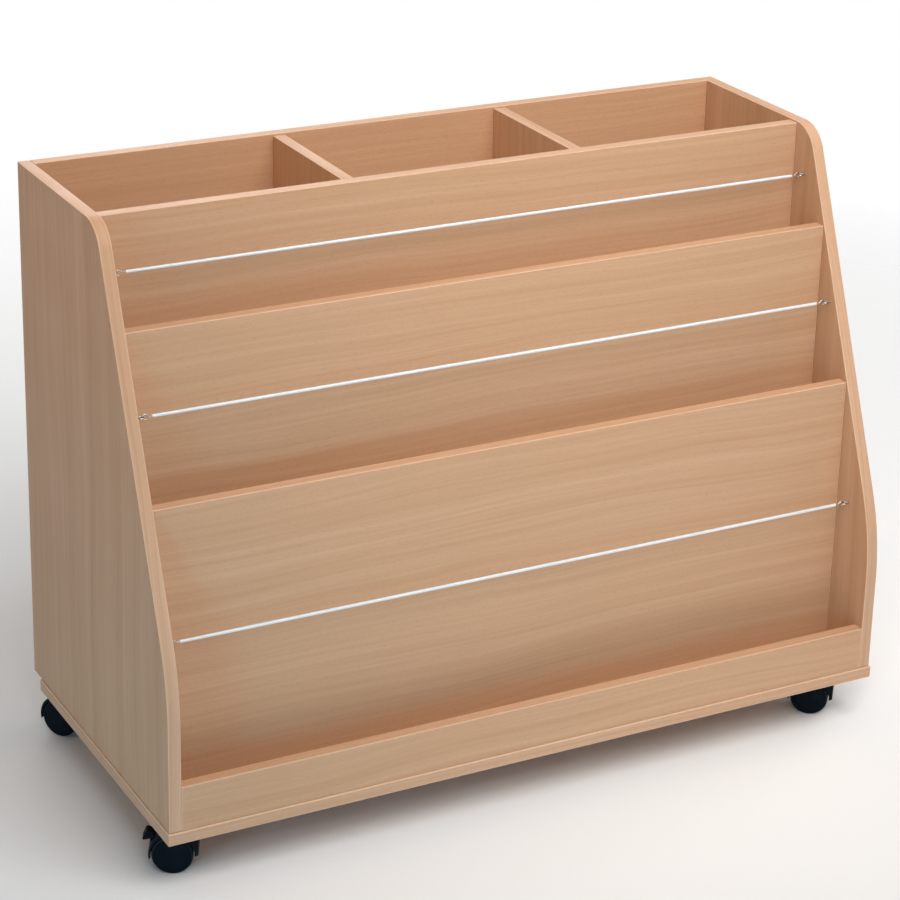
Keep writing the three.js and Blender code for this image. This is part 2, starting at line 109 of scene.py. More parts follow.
def power(name, description, default):
    """A lamp's power in watts."""
    return FloatProperty(name=name, description=description, default=default, min=0, unit="POWER")


class BoardSettings(bpy.types.PropertyGroup):
    """Outline of the side panels, rounding and finish of the boards."""

    edge_radius: length("Edge radius", "Rounding of the boards' edges", 0.9)
    base_radius: length("Base radius", "Rounding of the base panel's edges", 1.5)
    knee_height: length("Knee height", "Where a side panel's upright front edge meets the raked one", 189)
    knee_radius: length("Knee radius", "Rounding of that knee", 300)
    rake_angle: FloatProperty(
        name="Rake", description="Raked front edge, from upright",
        default=math.radians(21.4), subtype="ANGLE")
    top_radius: length("Top radius", "Rounding of a side panel's top front corner", 45)
    pale: colour("Pale wood", "Colour of the early wood", (0.640, 0.390, 0.240))
    deep: colour("Deep wood", "Colour of the late wood", (0.534, 0.301, 0.164))
    fleck: colour("Fleck", "Colour of the short beech flecks", (0.365, 0.180, 0.085))
    edging: colour("Edging", "Colour of the edging tape", (0.690, 0.430, 0.288))
    # Painted highlight: the boards' rounded edges are mixed this far towards a pale peach colour, for the
    # light that they catch.
    arris_highlight: colour("Arris", "Colour where the edges are rubbed", (0.840, 0.560, 0.380))
    highlight_share: share("Rubbing", "How far the edges are rubbed pale", 0.6)


class WireSettings(bpy.types.PropertyGroup):
    """Sleeves, springs, hooks and screw eyes."""

    sleeve_diameter: length("Sleeve", "Outer diameter of the white sleeve", 4)
    sleeve_bore: length("Bore", "Inner diameter of the sleeve", 2.2)
    coil_pitch: length("Coil pitch", "Pitch of the spring that shows through the sleeve", 2.6)
    eye_reach: length("Eye reach", "From a side panel's face to the middle of the eye", 7)
    eye_ring: length("Eye ring", "Radius of the eye", 3.6)
    eye_wire: length("Eye wire", "Radius of the eye's wire", 0.9)
    hook_ring: length("Hook ring", "Radius of the hook", 3.4)
    hook_wire: length("Hook wire", "Radius of the hook's wire", 0.8)
    link_gap: length("Link gap", "Clearance between hook and eye", 0.3)
    white: colour("White", "Colour of the sleeve", (0.76, 0.78, 0.80))
    scuff: colour("Scuff", "Colour of the sleeve's scuffs", (0.66, 0.65, 0.62))
    steel: colour("Steel", "Colour of the plated steel", (0.47, 0.455, 0.425))
    tarnish: colour("Tarnish", "Colour of the plating's dull spots", (0.27, 0.255, 0.225))


class CastorSettings(bpy.types.PropertyGroup):
    """Sizes of the castors, from the axle, and their finish."""

    wheel_radius: length("Wheel radius", "Radius of the tread", 25)
    wheel_width: length("Wheel width", "Width of one wheel", 16.5)
    wheel_gap: length("Wheel gap", "Between the tread and the hood", 1.5)
    web: length("Web", "Thickness of the hood's web between the wheels", 9)
    side_gap: length("Side gap", "Between a wheel and the web", 0.5)
    hood_reach: length("Hood reach", "Reach of the hood's square end, over the kingpin", 31)
    fender_reach: length("Fender reach", "Reach of the hood's round end, behind the wheels", 28.7)
    fender_radius: length("Fender radius", "Rounding of that end", 30.2)
    fender_tail: length("Fender tail", "Drop of that end's tip below the axle", 6)
    hood_crown: length("Hood crown", "Thickness of the hood over the wheels", 5.2)
    hood_corner: length("Hood corner", "Rounding of the square end's top corner", 9)
    hood_skirt: length("Hood skirt", "Drop of the hood's walls below the axle", 3)
    hood_recess: length("Hood recess", "Of the hood's sides behind the wheels' faces", 1.5)
    hood_edge: length("Hood edge", "Rounding of the hood's edges", 0.6)
    trail: length("Trail", "Of the axle behind the swivel axis", 16)
    screw_spacing: length("Screw spacing", "Between the mounting plate's screws", 29)
    screw_head: length("Screw head", "Radius of a countersunk screw head", 2.2)
    nylon: colour("Nylon", "Colour of the black nylon", (0.0026, 0.0050, 0.0080))
    dust: colour("Dust", "Colour of the dust and rubbing on it", (0.045, 0.048, 0.052))


class StageSettings(bpy.types.PropertyGroup):
    """Floor, light and camera."""

    floor: colour("Floor", "Colour of the floor", (0.93, 0.945, 0.96))
    floor_radius: length("Floor radius", "Radius of the floor", 2600)
    sky_tint: colour("Sky tint", "Colour of the light from all round", (0.97, 0.985, 1.0))
    sky: FloatProperty(name="Sky", description="Strength of the light from all round", default=0.16)
    key: power("Key", "Lamp over the front", 42)
    front: power("Front", "Narrow lamp on the upper panels", 3.5)
    warm: power("Warm", "Narrow lamp on the left side's top", 0.55)
    cool: power("Cool", "Narrow lamp on the left side's foot", 0.9)
    low: power("Low", "Narrow cool lamp on the front's foot", 0.95)
    over: power("Over", "Lamp over the left end", 4)
    right: power("Right", "Lamp on the right", 18)
    back: power("Back", "Lamp behind the object", 24)
    focal_length: FloatProperty(name="Lens", description="Focal length in millimetres", default=111.654)


class BrowserBinSettings(bpy.types.PropertyGroup):
    """All the settings of the browser bin."""

    boards: PointerProperty(type=BoardSettings)
    wires: PointerProperty(type=WireSettings)
    castors: PointerProperty(type=CastorSettings)
    stage: PointerProperty(type=StageSettings)


def settings():
    """The scene's browser bin settings."""
    return bpy.context.scene.browser_bin


# Outlines in a plane, anticlockwise

ARC_STEP = math.radians(5)
LEAST_STEPS = 3


def arc(middle, radius, start, end):
    """Points of an arc between two angles."""
    steps = max(LEAST_STEPS, math.ceil(abs(end - start) / ARC_STEP))
    angles = [start + (end - start) * i / steps for i in range(steps + 1)]
    return [Vector((middle[0] + radius * math.cos(a), middle[1] + radius * math.sin(a))) for a in angles]


def rectangle(low, high):
    """A rectangle with sharp corners."""
    return [Vector(p) for p in ((low[0], low[1]), (high[0], low[1]), (high[0], high[1]), (low[0], high[1]))]


def rounded_rectangle(low, high, radius):
    """A rectangle with round corners."""
    quarter = math.pi / 2
    corners = ((high[0], high[1]), (low[0], high[1]), (low[0], low[1]), (high[0], low[1]))
    points = []
    for turn, (x, y) in enumerate(corners):
        inward = Vector((-1 if x == high[0] else 1, -1 if y == high[1] else 1)) * radius
        points += arc((x + inward.x, y + inward.y), radius, turn * quarter, (turn + 1) * quarter)
    return points


def inset(outline, distance):
    """The outline moved inwards, corner by corner."""
    moved = []
    for i, point in enumerate(outline):
        before = (point - outline[i - 1]).normalized()
        after = (outline[(i + 1) % len(outline)] - point).normalized()
        normals = Vector((-before.y, before.x)), Vector((-after.y, after.x))
        moved.append(point + (normals[0] + normals[1]) / (1 + normals[0].dot(normals[1])) * distance)
    return moved


# Meshes

EDGE_STEPS = 3
SIDES_SEED = 0.5  # sets the grain of a prism's sides apart from that of its faces
SAME_PLACE = 0.01 * MM
FLAT = math.radians(1)  # faces that meet at less are one face
SHARP = math.radians(40)  # edges that bend by more are rounded
SHADED_SHARP = math.radians(50)  # edges that bend by more keep a crisp line
FLAT_WEIGHT = 90  # how far large faces decide the shading
WIRE_SIDES = 14
WIRE_TIP = 0.5  # how far a wire's tips stand out, as a share of its radius


def prism(outline, thickness, radius, grain="u", seed=0.0):
    """The outline raised to a thickness, its edges rounded unless the radius is 0.

    Corners carry "grain", the distance along and across the wood, and the mark of wear and painted
    highlight, which is 1 on rounded edges, where the beech finish paints a highlight.
    The two faces have material 0 and the sides have material 1.
    """
    mesh = bmesh.new()
    grain_layer = mesh.loops.layers.float_vector.new("grain")
    wear_and_highlight_layer = mesh.loops.layers.float.new("wear")
    turns = [math.pi / 2 * i / EDGE_STEPS for i in range(EDGE_STEPS + 1)] if radius else [0]
    levels = [(radius * (1 - math.sin(t)), radius * (1 - math.cos(t))) for t in turns]
    levels += [(back, thickness - height) for back, height in reversed(levels)]
    rings = []
    for back, height in levels:
        rings.append([mesh.verts.new((p.x, p.y, height)) for p in inset(outline, back)])
    count = len(outline)
    walked = [0.0]
    for i in range(count):
        walked.append(walked[-1] + (outline[(i + 1) % count] - outline[i]).length)
    for face in (mesh.faces.new(rings[0][::-1]), mesh.faces.new(rings[-1])):
        for loop in face.loops:
            u, v, _ = loop.vert.co
            loop[grain_layer] = (u, v, seed) if grain == "u" else (v, u, seed)
    for level, (low, high) in enumerate(zip(rings, rings[1:])):
        # A 1 on the rounded edges marks where the beech finish paints a highlight.
        rounded = 0.0 if level == len(turns) - 1 else 1.0
        for i in range(count):
            j = (i + 1) % count
            face = mesh.faces.new((low[i], low[j], high[j], high[i]))
            face.material_index = 1
            along = (walked[i], walked[i + 1], walked[i + 1], walked[i])
            for loop, distance in zip(face.loops, along):
                loop[grain_layer] = (distance, loop.vert.co.z, seed + SIDES_SEED)
                loop[wear_and_highlight_layer] = rounded
    bmesh.ops.remove_doubles(mesh, verts=mesh.verts, dist=SAME_PLACE)
    return mesh


def ring_round_z(mesh, radius, height, steps):
    """A ring of new points in the mesh."""
    angles = [2 * math.pi * i / steps for i in range(steps)]
    return [mesh.verts.new((radius * math.cos(a), radius * math.sin(a), height)) for a in angles]


def lathe(profile, steps, worn=()):
    """A profile of (radius, height) pairs turned round Z; the profile runs from axis to axis.

    The stretches of the profile numbered in worn carry "wear".
    """
    mesh = bmesh.new()
    wear_and_highlight_layer = mesh.loops.layers.float.new("wear")
    rings = []
    for radius, height in profile:
        if radius == 0:
            rings.append([mesh.verts.new((0, 0, height))] * steps)
        else:
            rings.append(ring_round_z(mesh, radius, height, steps))
    for number, (low, high) in enumerate(zip(rings, rings[1:])):
        for i in range(steps):
            j = (i + 1) % steps
            face = mesh.faces.new(list(dict.fromkeys((low[i], low[j], high[j], high[i]))))
            for loop in face.loops:
                loop[wear_and_highlight_layer] = 1.0 if number in worn else 0.0
    bmesh.ops.recalc_face_normals(mesh, faces=mesh.faces)
    return mesh


def lathe_ring(profile, steps):
    """A closed profile of (radius, height) pairs turned round Z."""
    mesh = bmesh.new()
    mesh.loops.layers.float.new("wear")
    rings = [ring_round_z(mesh, radius, height, steps) for radius, height in profile]
    for low, high in zip(rings, rings[1:] + rings[:1]):
        for i in range(steps):
            j = (i + 1) % steps
            mesh.faces.new((low[i], low[j], high[j], high[i]))
    bmesh.ops.recalc_face_normals(mesh, faces=mesh.faces)
    return mesh


def tube(points, radius, sides=WIRE_SIDES):
    """A round wire along points, with blunt tips."""
    mesh = bmesh.new()
    mesh.loops.layers.float.new("wear")
    ahead = [points[min(i + 1, len(points) - 1)] - points[max(i - 1, 0)] for i in range(len(points))]
    ahead = [direction.normalized() for direction in ahead]
    side = ahead[0].orthogonal().normalized()
    rings = []
    for i, point in enumerate(points):
        if i:
            side = ahead[i - 1].rotation_difference(ahead[i]) @ side
        other = ahead[i].cross(side)
        turns = [2 * math.pi * k / sides for k in range(sides)]
        ring = [point + (side * math.cos(t) + other * math.sin(t)) * radius for t in turns]
        rings.append([mesh.verts.new(p) for p in ring])
    for low, high in zip(rings, rings[1:]):
        for k in range(sides):
            n = (k + 1) % sides
            mesh.faces.new((low[k], low[n], high[n], high[k]))
    for ring, point, outward in ((rings[0], points[0], -ahead[0]), (rings[-1], points[-1], ahead[-1])):
        tip = mesh.verts.new(point + outward * radius * WIRE_TIP)
        for k in range(sides):
            mesh.faces.new((ring[k], ring[(k + 1) % sides], tip))
    bmesh.ops.recalc_face_normals(mesh, faces=mesh.faces)
    return mesh


def joined(meshes):
    """Several meshes as one, still separate solids."""
    whole = meshes[0]
    for other in meshes[1:]:
        spare = bpy.data.meshes.new("spare")
        other.to_mesh(spare)
        other.free()
        whole.from_mesh(spare)
        bpy.data.meshes.remove(spare)
    return whole


def cut_from(mesh, cutters, operation="DIFFERENCE"):
    """The mesh after a boolean with each of the cutters."""
    spares = []
    for part in (mesh, *cutters):
        data = bpy.data.meshes.new("spare")
        part.to_mesh(data)
        part.free()
        spares.append(bpy.data.objects.new("spare", data))
        bpy.context.scene.collection.objects.link(spares[-1])
    for cutter in spares[1:]:
        modifier = spares[0].modifiers.new("cut", "BOOLEAN")
        modifier.operation = operation
        modifier.solver = "EXACT"
        modifier.object = cutter
    evaluated = spares[0].evaluated_get(bpy.context.evaluated_depsgraph_get())
    result = bmesh.new()
    result.from_mesh(evaluated.to_mesh())
    evaluated.to_mesh_clear()
    for spare in spares:
        data = spare.data
        bpy.data.objects.remove(spare)
        bpy.data.meshes.remove(data)
    bmesh.ops.remove_doubles(result, verts=result.verts, dist=SAME_PLACE)
    return result


def soften(mesh, width, side=None):
    """Rounds a mesh's sharp edges, or only those at a distance to either side, and marks them as worn."""
    wear_and_highlight_layer = mesh.loops.layers.float.get("wear") or mesh.loops.layers.float.new("wear")
    bmesh.ops.dissolve_limit(mesh, angle_limit=FLAT, verts=mesh.verts, edges=mesh.edges)
    sharp = [e for e in mesh.edges if len(e.link_faces) == 2 and e.calc_face_angle(0) > SHARP]
    if side:
        sharp = [e for e in sharp if all(abs(abs(v.co.y) - side) < SAME_PLACE for v in e.verts)]
    made = bmesh.ops.bevel(
        mesh, geom=sharp, offset=width, segments=2, profile=0.5, affect="EDGES", clamp_overlap=True)
    for face in made["faces"]:
        for loop in face.loops:
            loop[wear_and_highlight_layer] = 1.0
    return mesh


def upright_axes(u, v, w, corner):
    """A matrix that puts an object's own axes along three directions from a point."""
    rows = [(u[i], v[i], w[i], corner[i]) for i in range(3)]
    return Matrix((*rows, (0, 0, 0, 1)))


def make_piece(name, mesh, materials, body, slot, *nodes, place=None):
    """A piece of the object from a finished mesh: it rides on a body and stands for the CAD nodes."""
    if not mesh.faces:
        raise RuntimeError(f"{name} has no faces")
    if place:
        mesh.transform(place)
    data = bpy.data.meshes.new(name)
    mesh.to_mesh(data)
    mesh.free()
    data.shade_smooth()
    data.set_sharp_from_angle(angle=SHADED_SHARP)
    for material in materials:
        data.materials.append(material)
    piece = bpy.data.objects.new(name, data)
    bpy.context.scene.collection.objects.link(piece)
    normals = piece.modifiers.new("flat faces", "WEIGHTED_NORMAL")
    normals.keep_sharp = True
    normals.weight = FLAT_WEIGHT
    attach(piece, body)
    if nodes:
        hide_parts(*nodes)


# Materials

WHOLE = (0.0, 1.0)

# The part of a noise's range that each finish draws out
NOISE_RANGE = (0.3, 0.7)
FLECK_RANGE = (0.60, 0.72)
SCUFF_RANGE = (0.55, 0.75)
TARNISH_RANGE = (0.45, 0.7)
FLOW_RANGE = (0.35, 0.65)
DUST_RANGE = (0.40, 0.68)

# Lines of noise to a metre: for wood along the grain, across it and from board to board,
# and for the other finishes along X, Y and Z
BAND_ALONG = 0.7
RING_ALONG = 2.6
BOARD_TO_BOARD = 7.0
WANDER_LINES = (1.6, 4.0, BOARD_TO_BOARD)
FLECK_LINES = (190.0, 1300.0, BOARD_TO_BOARD)
HANDLED_LINES = (9.0, 9.0, BOARD_TO_BOARD)
SCUFF_LINES = (60.0, 900.0, 900.0)
TARNISH_LINES = (420.0, 420.0, 420.0)
DRAWN_LINES = (300.0, 4000.0, 4000.0)
FLOW_LINES = (70.0, 70.0, 70.0)
PEBBLE_LINES = (2600.0, 2600.0, 2600.0)
DUST_LINES = (260.0, 260.0, 260.0)

WOOD_ROUGHNESS = (0.40, 0.50)
HANDLED_ROUGHNESS = (-0.05, 0.05)  # added to the wood's
SLEEVE_ROUGHNESS = (0.28, 0.45)
STEEL_ROUGHNESS = (0.22, 0.42)
NYLON_ROUGHNESS = (0.40, 0.55)

WANDER = (0.0, 0.05, 0.0)  # how far the wood's lines stray across the grain, in metres
RING_HEIGHT = 0.5  # of the rings' relief, over the flecks' depth
SCUFF_SHARE = 0.35
WEAR_PATCHES, WEAR_ALL_OVER = 0.5, 0.12  # dust on the nylon's worn edges
FLOW_LIGHTER = 1.7  # the nylon's lightest tone over its darkest
WAVE_UNIT = 20  # radians to a metre of a wave texture of scale 1


def add(tree, kind, inputs=None, **options):
    """A node with its options set and its inputs joined or filled."""
    made = tree.nodes.new(kind)
    for key, value in options.items():
        setattr(made, key, value)
    for key, value in (inputs or {}).items():
        if isinstance(value, bpy.types.NodeSocket):
            tree.links.new(value, made.inputs[key])
        else:
            made.inputs[key].default_value = value
    return made


def blank(name):
    """A new material, with its node tree and its shader."""
    material = bpy.data.materials.new(name)
    material.use_nodes = True
    return material.node_tree, material.node_tree.nodes["Principled BSDF"], material


def noise(tree, vector, scale, detail, roughness=0.5):
    """Noise over a vector stretched by a scale for each axis."""
    stretched = add(tree, "ShaderNodeVectorMath", {0: vector, 1: scale}, operation="MULTIPLY")
    made = add(tree, "ShaderNodeTexNoise", {
        "Vector": stretched.outputs[0], "Scale": 1.0, "Detail": detail, "Roughness": roughness})
    return made.outputs["Fac"]


def spread(tree, value, span, to=WHOLE):
    """A value's span drawn out to another span."""
    made = add(tree, "ShaderNodeMapRange", {
        "Value": value, "From Min": span[0], "From Max": span[1], "To Min": to[0], "To Max": to[1]})
    return made.outputs[0]


def mixed(tree, factor, first, second):
    """A mix of two colours, each a colour or a socket."""
    made = tree.nodes.new("ShaderNodeMix")
    made.data_type = "RGBA"
    for socket, value in ((made.inputs[0], factor), (made.inputs[6], first), (made.inputs[7], second)):
        if isinstance(value, bpy.types.NodeSocket):
            tree.links.new(value, socket)
        elif socket.type == "RGBA":
            socket.default_value = (*value, 1)
        else:
            socket.default_value = value
    return made.outputs[2]


def sums(tree, operation, first, second):
    """A sum, product or other calculation of two values."""
    return add(tree, "ShaderNodeMath", {0: first, 1: second}, operation=operation).outputs[0]


def attribute(tree, name, output):
    """A named value of the mesh."""
    return add(tree, "ShaderNodeAttribute", attribute_name=name).outputs[output]


def raise_surface(tree, shader, height, strength, distance):
    """Bump from a height."""
    bump = add(tree, "ShaderNodeBump", {"Height": height, "Strength": strength, "Distance": distance})
    tree.links.new(bump.outputs[0], shader.inputs["Normal"])


def beech(name, pale, ring_lines, fleck_share, band_lines=55.0, ring_share=0.55, contrast=1.0):
    """Beech laminate: slow bands, growth-ring lines that wander, short flecks, and a painted highlight on
    the rounded edges.
    """
    look = settings().boards
    tree, shader, material = blank(name)
    grain = attribute(tree, "grain", "Vector")
    wander = noise(tree, grain, WANDER_LINES, detail=2)
    wood = add(
        tree, "ShaderNodeVectorMath", {0: wander, 1: WANDER, 2: grain}, operation="MULTIPLY_ADD").outputs[0]
    band_scale = (BAND_ALONG, band_lines, BOARD_TO_BOARD)
    ring_scale = (RING_ALONG, ring_lines, BOARD_TO_BOARD)
    bands = spread(tree, noise(tree, wood, band_scale, detail=3), NOISE_RANGE)
    rings = spread(tree, noise(tree, wood, ring_scale, detail=4, roughness=0.65), NOISE_RANGE)
    flecks = spread(tree, noise(tree, wood, FLECK_LINES, detail=1), FLECK_RANGE)
    banding = sums(tree, "MULTIPLY", bands, 1 - ring_share)
    depth = sums(tree, "ADD", banding, sums(tree, "MULTIPLY", rings, ring_share))
    depth = spread(tree, depth, (0.5 - 0.5 / contrast, 0.5 + 0.5 / contrast))
    wood_colour = mixed(tree, depth, pale, look.deep)
    wood_colour = mixed(tree, sums(tree, "MULTIPLY", flecks, fleck_share), wood_colour, look.fleck)
    # Painted highlight: the rounded edges are mixed towards the pale arris colour.
    edge_highlight = sums(tree, "MULTIPLY", attribute(tree, "wear", "Fac"), look.highlight_share)
    wood_colour = mixed(tree, edge_highlight, wood_colour, look.arris_highlight)
    tree.links.new(wood_colour, shader.inputs["Base Color"])
    handled = spread(tree, noise(tree, grain, HANDLED_LINES, detail=3), NOISE_RANGE, HANDLED_ROUGHNESS)
    roughness = sums(tree, "ADD", spread(tree, rings, WHOLE, WOOD_ROUGHNESS), handled)
    tree.links.new(roughness, shader.inputs["Roughness"])
    shader.inputs["Specular IOR Level"].default_value = 0.2
    height = sums(tree, "SUBTRACT", sums(tree, "MULTIPLY", rings, RING_HEIGHT), flecks)
    raise_surface(tree, shader, height, strength=0.10, distance=0.1 * MM)
    return material


def white_sleeve(name):
    """White plastic sleeve drawn over a coil, lightly scuffed."""
    look = settings().wires
    tree, shader, material = blank(name)
    place = add(tree, "ShaderNodeTexCoord").outputs["Object"]
    scuffs = spread(tree, noise(tree, place, SCUFF_LINES, detail=3), SCUFF_RANGE)
    tone = mixed(tree, sums(tree, "MULTIPLY", scuffs, SCUFF_SHARE), look.white, look.scuff)
    tree.links.new(tone, shader.inputs["Base Color"])
    tree.links.new(spread(tree, scuffs, WHOLE, SLEEVE_ROUGHNESS), shader.inputs["Roughness"])
    scale = 2 * math.pi / (WAVE_UNIT * look.coil_pitch)
    inputs = {"Vector": place, "Scale": scale, "Distortion": 0.0}
    coils = add(tree, "ShaderNodeTexWave", inputs, bands_direction="X")
    raise_surface(tree, shader, coils.outputs["Fac"], strength=0.12, distance=0.05 * MM)
    return material


def plated_steel(name):
    """Bright plating with fine drawing lines and dull spots."""
    look = settings().wires
    tree, shader, material = blank(name)
    place = add(tree, "ShaderNodeTexCoord").outputs["Object"]
    dull = spread(tree, noise(tree, place, TARNISH_LINES, detail=4), TARNISH_RANGE)
    lines = noise(tree, place, DRAWN_LINES, detail=2)
    tree.links.new(mixed(tree, dull, look.steel, look.tarnish), shader.inputs["Base Color"])
    tree.links.new(spread(tree, dull, WHOLE, STEEL_ROUGHNESS), shader.inputs["Roughness"])
    shader.inputs["Metallic"].default_value = 1.0
    raise_surface(tree, shader, lines, strength=0.08, distance=0.02 * MM)
    return material


def black_nylon(name):
    """Moulded black nylon: fine texture, flow mottling, dust and rubbed edges."""
    look = settings().castors
    tree, shader, material = blank(name)
    place = add(tree, "ShaderNodeTexCoord").outputs["Object"]
    flow = noise(tree, place, FLOW_LINES, detail=3)
    pebble = noise(tree, place, PEBBLE_LINES, detail=2)
    patchy = spread(tree, noise(tree, place, DUST_LINES, detail=4, roughness=0.7), DUST_RANGE)
    dusty = sums(tree, "ADD", sums(tree, "MULTIPLY", patchy, WEAR_PATCHES), WEAR_ALL_OVER)
    worn = sums(tree, "MULTIPLY", attribute(tree, "wear", "Fac"), dusty)
    lighter = tuple(c * FLOW_LIGHTER for c in look.nylon)
    body = mixed(tree, spread(tree, flow, FLOW_RANGE), look.nylon, lighter)
    tree.links.new(mixed(tree, worn, body, look.dust), shader.inputs["Base Color"])
    tree.links.new(spread(tree, flow, NOISE_RANGE, NYLON_ROUGHNESS), shader.inputs["Roughness"])
    shader.inputs["Specular IOR Level"].default_value = 0.05
    raise_surface(tree, shader, pebble, strength=0.12, distance=0.04 * MM)
    return material


def finish(name):
    """One of the object's finishes, made the first time it is asked for."""
    found = bpy.data.materials.get(name)
    if found:
        return found
    look = settings().boards
    makers = {
        "beech_face": lambda: beech(name, look.pale, ring_lines=210.0, fleck_share=0.27),
        "beech_side": lambda: beech(
            name, look.pale, ring_lines=150.0, fleck_share=0.20,
            band_lines=26.0, ring_share=0.35, contrast=1.3),
        "beech_edging": lambda: beech(name, look.edging, ring_lines=420.0, fleck_share=0.12),
        "white_sleeve_finish": lambda: white_sleeve(name),
        "plated_steel_finish": lambda: plated_steel(name),
        "black_nylon_finish": lambda: black_nylon(name),
    }
    return makers[name]()


# Boards

def side_outline(depth, height):
    """A side panel in depth and height: upright back, flat top, round corner, raked edge, soft knee."""
    look = settings().boards
    rake = look.rake_angle
    corner = (height - look.knee_height) * math.tan(rake)
    middle = corner + look.top_radius * math.tan((math.pi / 2 - rake) / 2)
    knee = look.knee_height - look.knee_radius * math.tan(rake / 2)
    small = look.edge_radius
    outline = arc((small, small), small, math.pi, 1.5 * math.pi)
    outline += arc((depth - small, small), small, 1.5 * math.pi, 2 * math.pi)
    outline += arc((depth - small, height - small), small, 0, math.pi / 2)
    outline += arc((middle, height - look.top_radius), look.top_radius, math.pi / 2, math.pi - rake)
    outline += arc((look.knee_radius, knee), look.knee_radius, math.pi - rake, math.pi)
    return outline


class BIN_OT_side_panels(bpy.types.Operator):
    """Makes the two shaped side panels, with upright grain"""

    bl_idname = "bin.side_panels"
    bl_label = "Side Panels"

    SEED = 11.3  # of the left panel's grain

    def execute(self, context):
        look = settings().boards
        wood = [finish("beech_side"), finish("beech_edging")]
        for number, node in enumerate(("left_side_panel", "right_side_panel")):
            low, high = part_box(node)
            size = high - low
            mesh = prism(side_outline(size.y, size.z), size.x, look.edge_radius, "v", self.SEED + number)
            place = upright_axes(Y_AXIS, Z_AXIS, X_AXIS, low)
            make_piece(f"laminated_{node}", mesh, wood, "carcass", "beech_board", node, place=place)
        return {"FINISHED"}


class BIN_OT_boards(bpy.types.Operator):
    """Makes the base, lip, display panels, back, shelves and dividers"""

    bl_idname = "bin.boards"
    bl_label = "Boards"

    SEED_STEP = 1.7  # from one board's grain to the next

    def execute(self, context):
        look = settings().boards
        wood = [finish("beech_face"), finish("beech_edging")]
        for number, node in enumerate(BOARDS):
            low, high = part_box(node)
            size = high - low
            thin = min(range(3), key=lambda i: size[i])
            corner = low
            if thin == 0:
                u, v, axes = size.y, size.z, (Y_AXIS, Z_AXIS, X_AXIS)
            elif thin == 1:
                u, v, axes = size.x, size.z, (X_AXIS, Z_AXIS, -Y_AXIS)
                corner = Vector((low.x, high.y, low.z))
            else:
                u, v, axes = size.x, size.y, (X_AXIS, Y_AXIS, Z_AXIS)
            radius = look.base_radius if node == "base_panel" else look.edge_radius
            outline = rounded_rectangle((0, 0), (u, v), radius)
            mesh = prism(outline, size[thin], radius, "v" if thin == 0 else "u", self.SEED_STEP * number)
            place = upright_axes(*axes, corner)
            make_piece(f"laminated_{node}", mesh, wood, "carcass", "beech_board", node, place=place)
        return {"FINISHED"}


# Wires

def wire_axis(wire):
    """Where a wire's axis is."""
    return Vector(JOINTS[f"{wire}_wire_roll"]["pos_m"])


def wire_end(wire, end):
    """A matrix whose X runs from the side panel's face along the wire."""
    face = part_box("left_side_panel")[1].x if end == "left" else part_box("right_side_panel")[0].x
    axis = wire_axis(wire)
    turn = Matrix.Rotation(0 if end == "left" else math.pi, 4, "Z")
    return Matrix.Translation((face, axis.y, axis.z)) @ turn


class BIN_OT_sprung_wires(bpy.types.Operator):
    """Makes the sleeved wires, with the spring showing at their open ends"""

    bl_idname = "bin.sprung_wires"
    bl_label = "Sprung Wires"

    SLEEVE_STEPS = 24
    LIP_STEPS = 8
    SPRING_WIRE = 0.18 * MM  # radius of the spring's wire
    SPRING_SIDES = 6
    SPRING_BACK = 0.4 * MM  # from the sleeve's end to the spring's
    SPRING_PITCH = 2.2 * SPRING_WIRE
    SPRING_TURNS = 6
    TURN_POINTS = 14

    def execute(self, context):
        white, steel = finish("white_sleeve_finish"), finish("plated_steel_finish")
        for wire in WIRES:
            node = f"{wire}_sprung_wire"
            low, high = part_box(node)
            axis = wire_axis(wire)
            half = (high.x - low.x) / 2
            place = upright_axes(Y_AXIS, Z_AXIS, X_AXIS, ((low.x + high.x) / 2, axis.y, axis.z))
            sleeve = lathe_ring(self.profile(half), self.SLEEVE_STEPS)
            make_piece(f"white_{node}", sleeve, [white], f"{wire}_wire", "white_sleeve", node, place=place)
            springs = joined([self.spring(side * half, side) for side in (-1, 1)])
            make_piece(f"{wire}_wire_spring", springs, [steel], f"{wire}_wire", "plated_steel", place=place)
        return {"FINISHED"}

    def profile(self, half):
        """The sleeve in half section, with rounded lips."""
        look = settings().wires
        outer, inner = look.sleeve_diameter / 2, look.sleeve_bore / 2
        lip = (outer - inner) / 2
        middle = (outer + inner) / 2
        angles = [math.pi * (i / self.LIP_STEPS - 0.5) for i in range(self.LIP_STEPS + 1)]
        right = [(middle + lip * math.sin(a), half - lip + lip * math.cos(a)) for a in angles]
        left = [(radius, -height) for radius, height in reversed(right)]
        return right + left

    def spring(self, end, side):
        """The last turns of the spring inside the sleeve."""
        radius = settings().wires.sleeve_bore / 2 - self.SPRING_WIRE
        points = []
        for i in range(self.SPRING_TURNS * self.TURN_POINTS + 1):
            turn = i / self.TURN_POINTS
            angle = 2 * math.pi * turn
            height = end - side * (self.SPRING_BACK + turn * self.SPRING_PITCH)
            points.append(Vector((radius * math.cos(angle), radius * math.sin(angle), height)))
        return tube(points, self.SPRING_WIRE, self.SPRING_SIDES)


